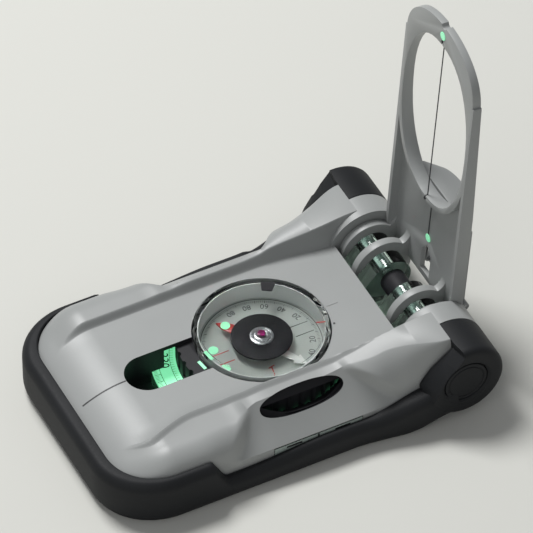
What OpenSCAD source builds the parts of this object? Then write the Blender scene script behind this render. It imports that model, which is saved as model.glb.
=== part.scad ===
// Sighting compass with a folding lid, drawn with the lid standing up.
// The origin lies on the resting plane, under the axis of the rotating dial.
// +X runs from the dial to the lid hinge, +Y to the far side and +Z up.

/* [Case] */
// Height of the flat deck above the resting plane
deck_z = 16.2; // [15:0.1:18]
// Distance from the dial axis to the front edge of the shell
nose_reach = 51.1; // [50:0.1:54]
// Half width of the shell
shell_half_w = 30.6; // [30.2:0.1:32]
// Radius of the front corners in plan
corner_r = 13; // [9:0.5:16]
// Distance from the dial axis to the rear edge of the deck
deck_rear = 29.2; // [29:0.1:29.4]
// Half width of the flat deck between the rails
deck_half_w = 18.9; // [18.8:0.1:19.2]
// Thickness of the deck
deck_t = 1.2; // [1:0.1:1.6]
// Height of the rails above the deck
rail_h = 3; // [2:0.1:3.4]
// Fall of the deck from the slot to the front edge
nose_drop = 4.6; // [3:0.1:5]
// Height of the underside of the shell
shell_floor = 4.1; // [4:0.1:4.4]

/* [Slot and windows] */
// Width of the reading slot in the deck
slot_w = 11.5; // [8:0.5:13]
// Distance from the dial axis to the front end of the slot
slot_reach = 37; // [33:0.5:38]
// Length of a thumb window in the shoulder
window_l = 22.5; // [16:0.5:24]
// Height of a thumb window along the slope of the shoulder
window_h = 6.8; // [5:0.1:7]
// Half length of the notch that shows the base plate's edge
notch_half_l = 12.2; // [8:0.1:14]

/* [Bumper] */
// Thickness of the rubber along the sides
bumper_t = 2.8; // [2:0.1:3.4]
// Extra thickness of the rubber across the front
bumper_front = 1.4; // [0:0.1:2]
// Height of the rubber round the front
bumper_h = 11.8; // [10:0.1:12]
// Height of the rubber where the sides are cut down
bumper_low = 6.6; // [6:0.1:7.5]

/* [Hinge] */
// Distance from the dial axis to the hinge axis
hinge_x = 38.05; // [38:0.05:38.6]
// Height of the hinge axis
hinge_z = 12.95; // [12.9:0.05:13.2]
// Radius of the ears that hold the hinge
ear_r = 10.5; // [10:0.1:11]
// Reach of an ear beyond the side of the shell
ear_proud = 5.2; // [4:0.1:5.6]
// Width of the silver part of an ear, between the lid and the rubber
ear_silver_w = 6.4; // [4:0.1:7]
// Radius of the hinge pin
pin_r = 1.6; // [1.2:0.1:2]
// Radius of the clear barrels of the base plate
barrel_r = 5.4; // [4.6:0.1:5.6]
// Radius of the lid's knuckle discs
knuckle_r = 7.9; // [7.4:0.1:8]
// Thickness of a knuckle disc
knuckle_t = 2; // [1.6:0.1:2.2]
// Radius of the round cap in an ear
cap_r = 5.75; // [5:0.05:6.5]
// Radius of the dark hub between the inner barrels
hub_r = 3.3; // [2.6:0.1:4]

/* [Dial] */
// Radius of the capsule
capsule_r = 17; // [16.6:0.1:17]
// Height of the capsule's rim above the deck
capsule_proud = 1.2; // [0.6:0.1:1.3]
// Wall of the capsule
capsule_t = 1.1; // [0.8:0.1:1.3]
// Outer radius of the dial ring's teeth
dial_r = 21.3; // [21:0.1:22]
// Number of grooves round the dial ring
dial_grooves = 40; // [24:1:48]
// Outer radius of the luminous scale ring
scale_r = 27.6; // [26:0.1:27.6]
// Height of the scale ring's upper face
scale_z = 8.4; // [8:0.1:8.6]
// Turn of the dial from the index line in the drawing
dial_turn = 0; // [0:1:359]

/* [Needle] */
// Length of the needle from the pivot to the north tip
needle_l = 12.4; // [9:0.1:14]
// Direction of the north tip, counted from the hinge side
needle_turn = 129; // [0:1:359]
// Radius of the dark disc on the needle
disc_r = 7.7; // [6:0.1:9]
// Radius of the bearing cap
bearing_r = 3; // [2:0.1:3.4]
// Radius of the pivot post
post_r = 0.6; // [0.4:0.05:0.8]
// Length of the slope pointer
clino_l = 13.6; // [11:0.1:14.5]
// Direction of the slope pointer, counted from the hinge side
clino_turn = 300; // [0:1:359]

/* [Lid] */
// Opening angle of the lid in the drawing
lid_open = 94; // [0:1:130]
// Length of the lid from the hinge axis to its tip
lid_l = 86; // [80:0.5:88]
// Half width of the lid
lid_half_w = 17.05; // [17.05:0.05:17.4]
// Distance from the hinge axis to the inner face of the lid
lid_rise = 7; // [6.95:0.05:7.1]
// Thickness of the lid's plate
lid_t = 1.3; // [1.2:0.1:1.8]
// Depth of the lid's side walls
lid_wall_h = 2.2; // [1.6:0.1:2.2]
// Thickness of the lid's side walls
lid_wall_t = 1.15; // [0.9:0.05:1.2]
// Near end of the oval window, from the hinge axis
oval_near = 30; // [28:0.5:34]
// Far end of the oval window, from the hinge axis
oval_far = 80; // [74:0.5:81]
// Half width of the oval window
oval_half_w = 15.6; // [13:0.1:15.7]
// Radius of the sighting wire
wire_r = 0.15; // [0.1:0.05:0.3]
// Half width of the sighting slit
slit_half_w = 2.2; // [0.8:0.1:2.4]

/* [Mirror] */
// Half width of the mirror leaf
leaf_half_w = 14.5; // [12:0.1:15]
// Thickness of the mirror leaf
leaf_t = 1.4; // [1.2:0.1:1.6]
// Length of the mirror leaf from its pin
leaf_l = 24; // [18:0.5:24.5]
// Radius of the mirror leaf's pin
leaf_pin_r = 0.5; // [0.4:0.05:0.6]
// Reach of the thumb tab behind the leaf
tab_reach = 5; // [2:0.1:6]

/* [Hidden] */
// Gap between faces that lie against each other in one body
seat = 0.05;
// Radial clearance of a shaft in its hole
fit = 0.08;
// Gap between pieces that move past each other
gap = 0.3;
// Overlap of a cut with the face that it breaks through
eps = 0.5;
fn_round = 64;
fn_bead = 24;

// Straight part of the outline starts behind the rounded corners
corner_x = corner_r - nose_reach;
// The deck bends down in front of the slot's front end
bend_x = -slot_reach;
// The shell's silver part ends just before the hinge axis
shell_rear = hinge_x - 1.55;
// Inner faces of the ears, clear of the lid
ear_inner = lid_half_w + gap;
ear_half_w = shell_half_w + ear_proud;
// The boot covers the ear from here outwards, over a thinner core
boot_in = ear_inner + ear_silver_w;
ear_core_r = ear_r - 1.9;
ear_core_out = boot_in + 3;
// Rounded corner between the top and the end of a boot
boot_round = 1.6;

// Heights inside the case
ceiling = deck_z - deck_t;
dial_top = ceiling - 0.2;
skirt_r = capsule_r + 1.6;
scale_t = 0.8;
capsule_top = deck_z + capsule_proud;
capsule_foot = scale_z + 1.4;
plate_top = shell_floor - seat;
card_z = capsule_foot + 1.3;
clino_z = card_z + 0.5;
needle_z = card_z + 1.7;
disc_z = needle_z + 0.55;
post_top = disc_z + 1.4;

// Rows of knuckles and barrels along the hinge
barrel_in = 3.6;
knuckle_a = 8.15;
knuckle_b = 15.05;
barrel_gap = 0.15;

// Screws from below: front and rear places
screw_r = 0.9;
screw_head_r = 1.9;
screw_head_t = 1.3;
screw_top = scale_z + 1.2;
screw_y = shell_half_w - 5.6;
screw_places = [for (x = [corner_x - 0.9, deck_rear - 3.2]) for (y = [-screw_y, screw_y]) [x, y]];

// The window in the shoulder: its middle, slope and depth
window_x = -1.2;
window_a = shell_half_w - 5.7;
window_depth = 2.6;
window_z = deck_z + 0.55;
window_tilt = 57;

// The lid in its own frame: closed, from the hinge axis towards -X
oval_mid = (oval_near + oval_far) / 2;
oval_half_l = (oval_far - oval_near) / 2;
lid_shoulder = lid_l - 13;
lid_step = 0.5;
rim_w = 1.5;
// The back of the lid slopes from here towards the tip
slope_from = 36;
slope_a = 1.9;
wire_hole_r = 0.4;
wire_ends = [oval_near - 0.8, oval_far + 1];
lid_front = lid_rise - lid_wall_h;
wire_z = lid_front + 0.7;
groove_w = 0.4;
slit_near = 2.7;
slit_far = 12;
// Luminous dots: distance from the hinge axis and height of the face that holds each
dot_r = 1.1;
dot_places = [[14.6, lid_rise], [lid_l - 3.2, lid_front]];
leaf_gap = 0.25;
leaf_pin_x = 4.4;
leaf_pin_z = lid_rise + lid_t + leaf_gap + 1.05;
leaf_barrel_r = 1.1;
leaf_lug_t = 1.5;
leaf_pin_half = leaf_half_w + gap + leaf_lug_t;
leaf_z = leaf_pin_z - leaf_t / 2;
leaf_tongue = 1.6;
tab_w = 22;
tab_t = 1.6;

function clamp01(t) = min(1, max(0, t));
function ease(t) = let (c = clamp01(t)) c * c * (3 - 2 * c);

// Half width of the shell at station x, round the front corners
function half_w(x) = x > corner_x ? shell_half_w
    : shell_half_w - corner_r + sqrt(max(0, pow(corner_r, 2) - pow(corner_x - x, 2)));
function deck_at(x) = deck_z - nose_drop * pow(max(0, bend_x - x) / (nose_reach + bend_x), 2);
function scoop(x) = ease((x + 14) / 8) * (1 - ease((x - 10) / 14));
function rail_at(x) = rail_h * ease((x + 45) / 18)
    + (hinge_z + ear_r - 0.05 - deck_z - rail_h) * ease((x - 4) / 32);
function rail_out(x) = shell_half_w - 5.3 - 1.8 * scoop(x) + 3 * ease((x - 14) / 16);
function edge_at(x) = min(deck_at(x) + rail_at(x) - 0.3, 12 - 2 * ease((x + 30) / 6) - 2 * scoop(x)
    + 3 * ease((x - 18) / 16));

// The rails' feet close in on the lid towards the ears
function foot_at(x) = deck_half_w + (ear_inner + 0.1 - deck_half_w) * ease((x - 12) / 17);

// One half of a cross-section: distances from the middle and heights
function shoulder_point(x, t) = let (
        a0 = rail_out(x),
        z0 = deck_at(x) + rail_at(x),
        z1 = edge_at(x),
        s = scoop(x),
        round_a = a0 + (shell_half_w - a0) * sin(90 * t),
        round_z = z1 + (z0 - z1) * cos(90 * t),
        flat_a = a0 + (shell_half_w - a0) * t,
        flat_z = z1 + (z0 - z1) * (1 - ease(t * 0.85 + 0.12 * t * t)))
    [round_a * (1 - s) + flat_a * s, round_z * (1 - s) + flat_z * s];
wall_steps = 4;
shoulder_steps = 8;
function half_section(x) = concat(
    [[0, deck_at(x)]],
    [for (i = [0 : wall_steps]) let (t = i / wall_steps)
        [foot_at(x) + 2.2 * t, deck_at(x) + rail_at(x) * ease(t)]],
    [for (i = [0 : shoulder_steps]) shoulder_point(x, i / shoulder_steps)],
    [[shell_half_w, shell_floor]]);
function full_section(x) = let (h = half_section(x), k = half_w(x) / shell_half_w, n = len(h))
    concat(
        [for (i = [n - 1 : -1 : 1]) [x, -h[i][0] * k, h[i][1]]],
        [for (i = [0 : n - 1]) [x, h[i][0] * k, h[i][1]]]);

nose_steps = 9;
body_steps = 34;
shell_stations = concat(
    [for (i = [body_steps : -1 : 1]) corner_x + (shell_rear - corner_x) * i / body_steps],
    [for (i = [nose_steps : -1 : 0]) corner_x - corner_r * cos(90 * i / nose_steps)]);

// Triangles over one end of the shell: a fan from each lower corner and one between them
function shell_cap(n) = let (mid = (n - 1) / 2) concat(
    [for (j = [1 : mid - 1]) [0, j, j + 1]],
    [for (j = [mid : n - 3]) [n - 1, j, j + 1]],
    [[0, mid, n - 1]]);

// Skin of triangles over rows of points, closed by the cap's faces at each end
module loft(rows, cap) {
    n = len(rows[0]);
    m = len(rows);
    points = [for (row = rows) each row];
    sides = [for (j = [0 : m - 2]) for (i = [0 : n - 1]) let (k = (i + 1) % n)
        each [[j * n + i, (j + 1) * n + i, (j + 1) * n + k], [j * n + i, (j + 1) * n + k, j * n + k]]];
    last = [for (face = cap) [for (k = [len(face) - 1 : -1 : 0]) (m - 1) * n + face[k]]];
    polyhedron(points = points, faces = concat(sides, cap, last), convexity = 8);
}

// Runs its children at the hinge axis, along +Y
module on_hinge() {
    translate([hinge_x, 0, hinge_z]) children();
}
// Cylinder along Y between two distances from the middle
module y_cylinder(r, y0, y1, fn = fn_round) {
    translate([0, y0, 0]) rotate([-90, 0, 0]) cylinder(r = r, h = y1 - y0, $fn = fn);
}
module both_sides() {
    children();
    mirror([0, 1, 0]) children();
}

// Elliptical outline with fuller corners as the power grows
function oval(a, b, power = 2, count = 48) = [for (i = [0 : count - 1])
    let (t = 360 * i / count, c = cos(t), s = sin(t))
    [a * sign(c) * pow(abs(c), 2 / power), b * sign(s) * pow(abs(s), 2 / power)]];

// Cut square to the slope of the shoulder, down to the room for the dial
module window_cut() {
    translate([window_x, -window_a, window_z]) rotate([window_tilt, 0, 0])
        translate([0, 0, -window_depth]) linear_extrude(height = window_depth + 7)
            polygon(oval(window_l / 2, window_h / 2, 2.3, 32));
}

// Moulded upper half: deck, rails, scooped shoulders and the front of the ears
module top_shell() {
    color("silver") difference() {
        union() {
            loft([for (x = shell_stations) full_section(x)], shell_cap(len(full_section(0))));
            both_sides() on_hinge() {
                y_cylinder(ear_r - seat, ear_inner, boot_in);
                y_cylinder(ear_core_r, ear_inner, ear_core_out);
            }
        }
        // Room for the hinge between the ears
        translate([deck_rear, -ear_inner, 0]) cube([30, 2 * ear_inner, 40]);
        // Room for the dial and its scale
        translate([0, 0, shell_floor - eps]) {
            cylinder(r = dial_r + 4.3, h = ceiling - shell_floor + eps, $fn = fn_round);
            cylinder(r = scale_r + 0.4, h = scale_z + 0.6 - shell_floor + eps, $fn = fn_round);
        }
        // Opening for the capsule, and the slot that runs into it
        cylinder(r = capsule_r + gap, h = 40, $fn = fn_round);
        translate([0, 0, shell_floor + 1.5]) linear_extrude(height = 40) {
            translate([-slot_reach + slot_w / 2, 0]) circle(d = slot_w, $fn = 48);
            translate([-slot_reach + slot_w / 2, -slot_w / 2]) square([slot_reach - slot_w / 2, slot_w]);
        }
        both_sides() window_cut();
        both_sides() translate([-notch_half_l, shell_half_w - 1, 0])
            cube([2 * notch_half_l, 3, bumper_low + 2.4]);
        on_hinge() y_cylinder(pin_r + seat, -40, 40);
        for (p = screw_places) translate([p[0], p[1], 0])
            cylinder(r = screw_r + seat, h = screw_top, $fn = fn_bead);
    }
}

module plate_outline(grow) {
    r = corner_r + grow;
    hull() {
        for (s = [-1, 1]) translate([corner_x, s * (shell_half_w - corner_r)]) circle(r = r, $fn = 48);
        translate([deck_rear - 1, -shell_half_w - grow]) square([1, 2 * (shell_half_w + grow)]);
    }
}

// Outline of a barrel and the web that ties it to the plate, seen from the side
module barrel_outline() {
    difference() {
        union() {
            circle(r = barrel_r, $fn = fn_round);
            polygon([
                [deck_rear + 0.4 - hinge_x, plate_top - 3 - hinge_z], [0, plate_top - 3 - hinge_z],
                [barrel_r * 0.7, -barrel_r * 0.72], [-barrel_r * 0.72, barrel_r * 0.7],
                [deck_rear + 0.4 - hinge_x, -1]]);
        }
        circle(r = pin_r + seat, $fn = fn_round);
    }
}

// Clear plate under the case, with the barrels of the hinge and the ring that guides the dial
module base_plate() {
    color([0.75, 0.95, 0.85, 0.5]) difference() {
        union() {
            linear_extrude(height = plate_top) plate_outline(-0.1);
            translate([deck_rear - 1, -ear_inner + 0.4, 0]) cube([2.4, 2 * ear_inner - 0.8, plate_top]);
            both_sides() for (y = [[barrel_in, knuckle_a - barrel_gap],
                    [knuckle_a + knuckle_t + barrel_gap, knuckle_b - barrel_gap]])
                on_hinge() translate([0, y[1], 0]) rotate([90, 0, 0])
                    linear_extrude(height = y[1] - y[0]) barrel_outline();
            difference() {
                cylinder(r = skirt_r + fit + 1.4, h = scale_z - scale_t - 0.4, $fn = fn_round);
                translate([0, 0, -eps]) cylinder(r = skirt_r + fit, h = 20, $fn = fn_round);
            }
            both_sides() translate([-notch_half_l + 0.1, shell_half_w - 0.9, 0])
                cube([2 * notch_half_l - 0.2, 0.8, bumper_low + 2.3]);
        }
        for (p = screw_places) translate([p[0], p[1], 0]) {
            translate([0, 0, -eps]) cylinder(r = screw_r + seat, h = 10, $fn = fn_bead);
            translate([0, 0, -eps])
                cylinder(r = screw_head_r + 0.1, h = screw_head_t + 0.4 + eps, $fn = fn_bead);
        }
    }
}

// Height of the rubber at station x along a side
function bumper_top(x) = bumper_h - (bumper_h - bumper_low) * ease((x + 29) / 4)
    + 1.4 * ease((x + 20) / 22) + 3.6 * ease((x - 6) / 22);
// Stations round the shell: place, outward direction, station height and thickness
side_steps = 26;
bend_steps = 8;
function side_x(i) = corner_x + (shell_rear - 0.6 - corner_x) * i / side_steps;
function rubber_t(x, front) = bumper_t + bumper_front * front
    + (ear_half_w - shell_half_w - bumper_t - 0.1) * ease((x - 8) / 22);
bumper_path = concat(
    [for (i = [side_steps : -1 : 1]) [[side_x(i), -shell_half_w], [0, -1]]],
    [for (i = [0 : bend_steps]) let (t = 90 * i / bend_steps, d = [-sin(t), -cos(t)])
        [[corner_x, corner_r - shell_half_w] + corner_r * d, d]],
    [for (i = [0 : bend_steps]) let (t = 90 - 90 * i / bend_steps, d = [-sin(t), cos(t)])
        [[corner_x, shell_half_w - corner_r] + corner_r * d, d]],
    [for (i = [1 : side_steps]) [[side_x(i), shell_half_w], [0, 1]]]);
// The underside rises towards the ears
function bumper_foot(x) = 2.6 * ease((x - 22) / 13);
function bumper_section(p, d) = let (
        t = rubber_t(p[0], d[0] * d[0]),
        top = bumper_top(p[0]),
        foot = bumper_foot(p[0]),
        profile = [[0.1, foot + 0.2], [0.6, foot], [t - 1.6, foot], [t - 0.5, foot + 0.6],
            [t - 0.05, foot + 2], [t, (foot + top) / 2], [t - 0.15, top - 2.2], [t - 0.7, top - 0.8],
            [t - 1.7, top - 0.1], [0.1, top]])
    [for (q = profile) [p[0] + d[0] * q[0], p[1] + d[1] * q[0], q[1]]];

// Rubber cup over an ear, with a rounded corner
module boot() {
    rotate([-90, 0, 0]) rotate_extrude($fn = fn_round) {
        translate([0, boot_in + seat]) square([ear_r, ear_half_w - boot_round - boot_in - seat]);
        translate([0, boot_in + seat]) square([ear_r - boot_round, ear_half_w - boot_in - seat]);
        translate([ear_r - boot_round, ear_half_w - boot_round]) circle(r = boot_round, $fn = fn_bead);
    }
}

// Rubber round the front and sides, with a boot over each ear
module bumper() {
    color([0.16, 0.17, 0.18]) {
        difference() {
            union() {
                loft([for (s = bumper_path) bumper_section(s[0], s[1])], [[for (i = [0 : 9]) i]]);
                both_sides() on_hinge() difference() {
                    boot();
                    // The silver part of the ear stays open in front
                    translate([-30, 0, -20])
                        cube([30 + shell_rear - hinge_x + 0.1, shell_half_w + 0.1, 40]);
                }
            }
            both_sides() on_hinge() {
                y_cylinder(ear_core_r + 0.1, 0, ear_core_out + 0.1);
                y_cylinder(cap_r + 0.2, ear_half_w - 1.6, ear_half_w + 1);
            }
        }
    }
}

// Round caps that close the ends of the hinge
module ear_caps() {
    color([0.2, 0.21, 0.22]) both_sides() on_hinge()
        y_cylinder(cap_r, ear_half_w - 1.55, ear_half_w - 0.3);
}

module hinge_pin() {
    color("silver") on_hinge() y_cylinder(pin_r, -ear_core_out, ear_core_out);
}

// Dark hub between the inner barrels
module hinge_hub() {
    color([0.1, 0.1, 0.1]) on_hinge() difference() {
        y_cylinder(hub_r, -barrel_in + seat, barrel_in - seat);
        y_cylinder(pin_r + seat, -10, 10);
    }
}

// Four screws from below hold the plate to the shell
module case_screws() {
    color("gray") for (p = screw_places) translate([p[0], p[1], 0.3]) {
        difference() {
            cylinder(r = screw_head_r, h = screw_head_t, $fn = fn_bead);
            translate([-screw_head_r, -0.25, -eps]) cube([2 * screw_head_r, 0.5, eps + 0.6]);
        }
        cylinder(r = screw_r, h = screw_top - 0.6, $fn = fn_bead);
    }
}

// Small red mark on the deck behind the capsule
module rear_index() {
    color("red") translate([capsule_r + 0.9, -0.25, deck_z]) cube([3, 0.5, 0.1]);
}

module at_dial() {
    rotate([0, 0, dial_turn]) children();
}

// Toothed ring that the thumbs turn; its skirt runs in the base plate's guide
module dial_ring() {
    groove_r = 0.75;
    color([0.09, 0.09, 0.1]) at_dial() difference() {
        union() {
            translate([0, 0, plate_top + 0.1])
                cylinder(r = skirt_r, h = dial_top - plate_top - 0.1, $fn = fn_round);
            translate([0, 0, scale_z + seat])
                cylinder(r = dial_r, h = dial_top - scale_z - seat, $fn = fn_round);
        }
        cylinder(r = capsule_r + seat, h = 40, $fn = fn_round);
        for (i = [0 : dial_grooves - 1]) rotate([0, 0, 360 * i / dial_grooves])
            translate([dial_r + 0.2, 0, scale_z + 1.2]) cylinder(r = groove_r, h = 20, $fn = 16);
    }
}

// Luminous flange that carries the degrees
module scale_ring() {
    color([0.6, 1, 0.75]) at_dial() translate([0, 0, scale_z - scale_t]) difference() {
        cylinder(r = scale_r, h = scale_t, $fn = fn_round);
        translate([0, 0, -eps]) cylinder(r = skirt_r + seat, h = 5, $fn = fn_round);
    }
}

// Clear cup over the needle
module capsule_cover() {
    color([0.9, 0.95, 0.95, 0.3]) at_dial() difference() {
        union() {
            translate([0, 0, capsule_foot])
                cylinder(r = capsule_r, h = capsule_top - capsule_foot - 0.5, $fn = fn_round);
            translate([0, 0, capsule_top - 0.5])
                cylinder(r1 = capsule_r, r2 = capsule_r - 0.5, h = 0.5, $fn = fn_round);
        }
        translate([0, 0, capsule_foot - eps]) cylinder(
            r = capsule_r - capsule_t,
            h = capsule_top - capsule_t - capsule_foot + eps,
            $fn = fn_round);
        // Shallow dish inside the rim
        translate([0, 0, capsule_top - 0.3]) cylinder(r = capsule_r - 1.6, h = 1, $fn = fn_round);
    }
}

module capsule_base() {
    color([0.85, 0.88, 0.86]) at_dial() translate([0, 0, capsule_foot - 0.4]) difference() {
        cylinder(r = capsule_r - capsule_t - seat, h = 1.4, $fn = fn_round);
        translate([0, 0, -eps]) cylinder(r = post_r + seat, h = 5, $fn = fn_bead);
    }
}

// Ring that seals the capsule's base in its wall
module capsule_seal() {
    color([0.15, 0.15, 0.15]) at_dial() translate([0, 0, capsule_foot - 0.7]) difference() {
        cylinder(r = capsule_r - 0.2, h = 0.65, $fn = fn_round);
        translate([0, 0, -eps]) cylinder(r = capsule_r - capsule_t + seat, h = 5, $fn = fn_round);
    }
}

// Printed card under the needle
module dial_card() {
    color([0.92, 0.93, 0.9]) at_dial() translate([0, 0, card_z - 0.25]) difference() {
        cylinder(r = capsule_r - capsule_t - 0.2, h = 0.25, $fn = fn_round);
        translate([0, 0, -eps]) cylinder(r = post_r + seat, h = 5, $fn = fn_bead);
    }
}

// Two luminous dots beside the meridian line
module orienting_dots() {
    color([0.6, 1, 0.75]) at_dial() for (s = [-1, 1])
        translate([5.4 - capsule_r, capsule_r * 0.2 * s, card_z + seat])
            cylinder(r = 1.25, h = 0.15, $fn = fn_bead);
}

// Dark wedge on the rim of the capsule
module dial_marker() {
    color([0.08, 0.08, 0.08]) at_dial() rotate([0, 0, 63])
        translate([capsule_r - 2.6, 0, capsule_top - 0.3]) linear_extrude(height = 0.25)
            polygon([[-1, -1.1], [0.85, -1.7], [0.85, 1.7], [-1, 1.1]]);
}

module pivot_post() {
    color("silver") at_dial() translate([0, 0, capsule_foot - 0.3])
        cylinder(r = post_r, h = post_top - capsule_foot + 0.3, $fn = fn_bead);
}

module at_needle() {
    rotate([0, 0, needle_turn]) children();
}

// Red needle with a pointed north end
module needle() {
    color("crimson") at_needle() translate([0, 0, needle_z]) difference() {
        union() {
            linear_extrude(height = 0.5) polygon([[0, -1.5], [needle_l - 2.4, -1.25], [needle_l, 0],
                [needle_l - 2.4, 1.25], [0, 1.5], [-disc_r - 1.5, 0.8], [-disc_r - 1.5, -0.8]]);
            cylinder(r = 2.4, h = 0.5, $fn = fn_bead);
        }
        translate([0, 0, -eps]) cylinder(r = post_r + fit, h = 5, $fn = fn_bead);
    }
}

module needle_disc() {
    color([0.1, 0.1, 0.1]) translate([0, 0, disc_z]) difference() {
        cylinder(r = disc_r, h = 0.45, $fn = fn_round);
        translate([0, 0, -eps]) cylinder(r = post_r + fit, h = 5, $fn = fn_bead);
    }
}

// Flat ring magnet that turns the needle
module needle_magnet() {
    color("dimgray") translate([0, 0, needle_z - 0.55]) difference() {
        cylinder(r = 2.4, h = 0.5, $fn = fn_bead);
        translate([0, 0, -eps]) cylinder(r = post_r + fit, h = 5, $fn = fn_bead);
    }
}

// Turned cap that holds the bearing jewel
module needle_bearing() {
    color("silver") translate([0, 0, disc_z + 0.5]) difference() {
        union() {
            cylinder(r = bearing_r, h = 0.45, $fn = fn_round);
            translate([0, 0, 0.4])
                cylinder(r1 = bearing_r - 0.6, r2 = bearing_r - 1.1, h = 0.55, $fn = fn_round);
        }
        translate([0, 0, -eps]) cylinder(r = post_r + fit, h = 5, $fn = fn_bead);
    }
}

module needle_jewel() {
    color([0.6, 0.05, 0.35]) translate([0, 0, disc_z + 1.5]) cylinder(r = 1, h = 0.3, $fn = fn_bead);
}

module needle_dot() {
    color([0.6, 1, 0.75]) at_needle() translate([needle_l - 2.6, 0, needle_z + 0.5 + seat])
        cylinder(r = 1.2, h = 0.2, $fn = fn_bead);
}

// Loose pointer that hangs down when the compass is held on edge
module clino_pointer() {
    color("white") rotate([0, 0, clino_turn]) translate([0, 0, clino_z]) difference() {
        union() {
            cylinder(r = 2.2, h = 0.3, $fn = fn_bead);
            linear_extrude(height = 0.3) polygon([[0, -1.4], [clino_l - 3.4, -0.9], [clino_l - 3.4, -1.7],
                [clino_l, 0], [clino_l - 3.4, 1.7], [clino_l - 3.4, 0.9], [0, 1.4]]);
        }
        translate([0, 0, -eps]) cylinder(r = post_r + fit, h = 5, $fn = fn_bead);
    }
}

// The lid's own frame: closed, plate above the hinge axis, tip towards -X
module on_lid() {
    on_hinge() rotate([0, lid_open, 0]) children();
}

tip_steps = 16;
tip_power = 2.1;
function tip_half_w(d) = (lid_half_w - lid_step)
    * pow(1 - pow(clamp01(d / (lid_l - lid_shoulder)), tip_power), 1 / tip_power);
function lid_side(grow) = concat(
    [[-1 + grow, lid_half_w + grow], [-lid_shoulder, lid_half_w + grow]],
    [for (i = [0 : tip_steps]) let (t = sin(90 * i / tip_steps), d = (lid_l - lid_shoulder) * t)
        [-lid_shoulder - d - grow * t, tip_half_w(d) + grow * (1 - t)]]);
function lid_points(grow) = let (h = lid_side(grow), n = len(h))
    concat(h, [for (i = [n - 2 : -1 : 0]) [h[i][0], -h[i][1]]]);

module oval_window(grow) {
    translate([-oval_mid, 0]) polygon(oval(oval_half_l + grow, oval_half_w + grow, 2.25));
}

module slit_outline() {
    polygon([[-slit_near, -slit_half_w], [-slit_near, slit_half_w], [-slit_far + 2.6, slit_half_w],
        [-slit_far, 0], [-slit_far + 2.6, -slit_half_w]]);
}

// Knuckle disc with the fillet that runs up into the lid's plate
module knuckle(y) {
    fillet_r = 3;
    reach = knuckle_r + 1;
    translate([0, y + knuckle_t, 0]) rotate([90, 0, 0]) linear_extrude(height = knuckle_t) difference() {
        union() {
            circle(r = knuckle_r, $fn = fn_round);
            difference() {
                translate([-reach, lid_rise - fillet_r]) square([reach, fillet_r + 0.1]);
                translate([-reach, lid_rise - fillet_r]) circle(r = fillet_r, $fn = fn_round);
            }
        }
        circle(r = pin_r + fit, $fn = fn_round);
        translate([-30, lid_rise + lid_t]) square([60, 20]);
        translate([4.5, 3]) square([20, 20]);
    }
}

// Room between the walls from the hinge to the rim of the window
module panel_pocket() {
    translate([0, 0, lid_rise - lid_wall_h - eps]) linear_extrude(height = lid_wall_h + eps)
        difference() {
            intersection() {
                polygon(lid_points(-lid_wall_t));
                translate([-oval_mid, -30]) square([oval_mid + 10, 60]);
            }
            oval_window(rim_w);
        }
    translate([-3, -lid_half_w + lid_wall_t, lid_rise - lid_wall_h - eps])
        cube([10, 2 * (lid_half_w - lid_wall_t), lid_wall_h + eps]);
}

// Folding frame: sunk panel, side walls, window rim and knuckles
module lid_frame() {
    color("silver") on_lid() difference() {
        union() {
            difference() {
                translate([0, 0, lid_front]) linear_extrude(height = lid_wall_h + lid_t)
                    polygon(lid_points(0));
                panel_pocket();
                translate([-slope_from, -30, lid_rise + lid_t]) rotate([0, -slope_a, 0])
                    translate([-80, 0, 0]) cube([80, 60, 10]);
            }
            both_sides() {
                for (y = [knuckle_a, knuckle_b]) knuckle(y);
                leaf_lug();
            }
        }
        translate([0, 0, lid_front - 1]) linear_extrude(height = 10) {
            oval_window(0);
            slit_outline();
        }
        // Groove for the wire, and the line on the panel down to the lower dot
        translate([-oval_far - 1, -groove_w / 2, lid_front - eps])
            cube([oval_far - oval_near + rim_w + 1.5, groove_w, wire_z - lid_front + 0.2 + eps]);
        translate([rim_w - oval_near - 0.1, -groove_w / 2, lid_rise - eps])
            cube([oval_near - rim_w + 0.1 - dot_places[0][0], groove_w, eps + 0.2]);
        // Notch at the tip, and the seats of the two dots
        translate([-lid_l, 0, 0]) cylinder(r = 1, h = 20, $fn = fn_bead);
        for (p = dot_places) translate([-p[0], 0, p[1] - 3])
            cylinder(r = dot_r + seat, h = 3.5, $fn = fn_bead);
        for (x = wire_ends) translate([-x, 0, lid_front - 1])
            cylinder(r = wire_hole_r, h = 2.2, $fn = fn_bead);
        translate([-leaf_pin_x, 0, leaf_pin_z]) y_cylinder(leaf_pin_r + seat, -40, 40, fn_bead);
    }
}

// Lug at the back of the lid for one end of the mirror leaf's pin
module leaf_lug() {
    translate([-leaf_pin_x, leaf_half_w + gap, leaf_pin_z]) {
        y_cylinder(leaf_barrel_r, 0, leaf_lug_t, fn_bead);
        translate([-leaf_barrel_r, 0, lid_rise + lid_t - leaf_pin_z - 0.1])
            cube([2 * leaf_barrel_r, leaf_lug_t, leaf_pin_z - lid_rise - lid_t + 0.1]);
    }
}

// Wire across the window
module sighting_wire() {
    color([0.2, 0.2, 0.2]) on_lid() translate([-oval_far - 0.5, 0, wire_z]) rotate([0, 90, 0])
        cylinder(r = wire_r, h = oval_far - oval_near + 0.8, $fn = 16);
}

// Small beads that pin the ends of the wire
module wire_anchors() {
    color([0.3, 0.3, 0.3]) on_lid() for (x = wire_ends) translate([-x, 0, wire_z - 0.9])
        cylinder(r = wire_hole_r - seat, h = 1.3, $fn = fn_bead);
}

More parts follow.
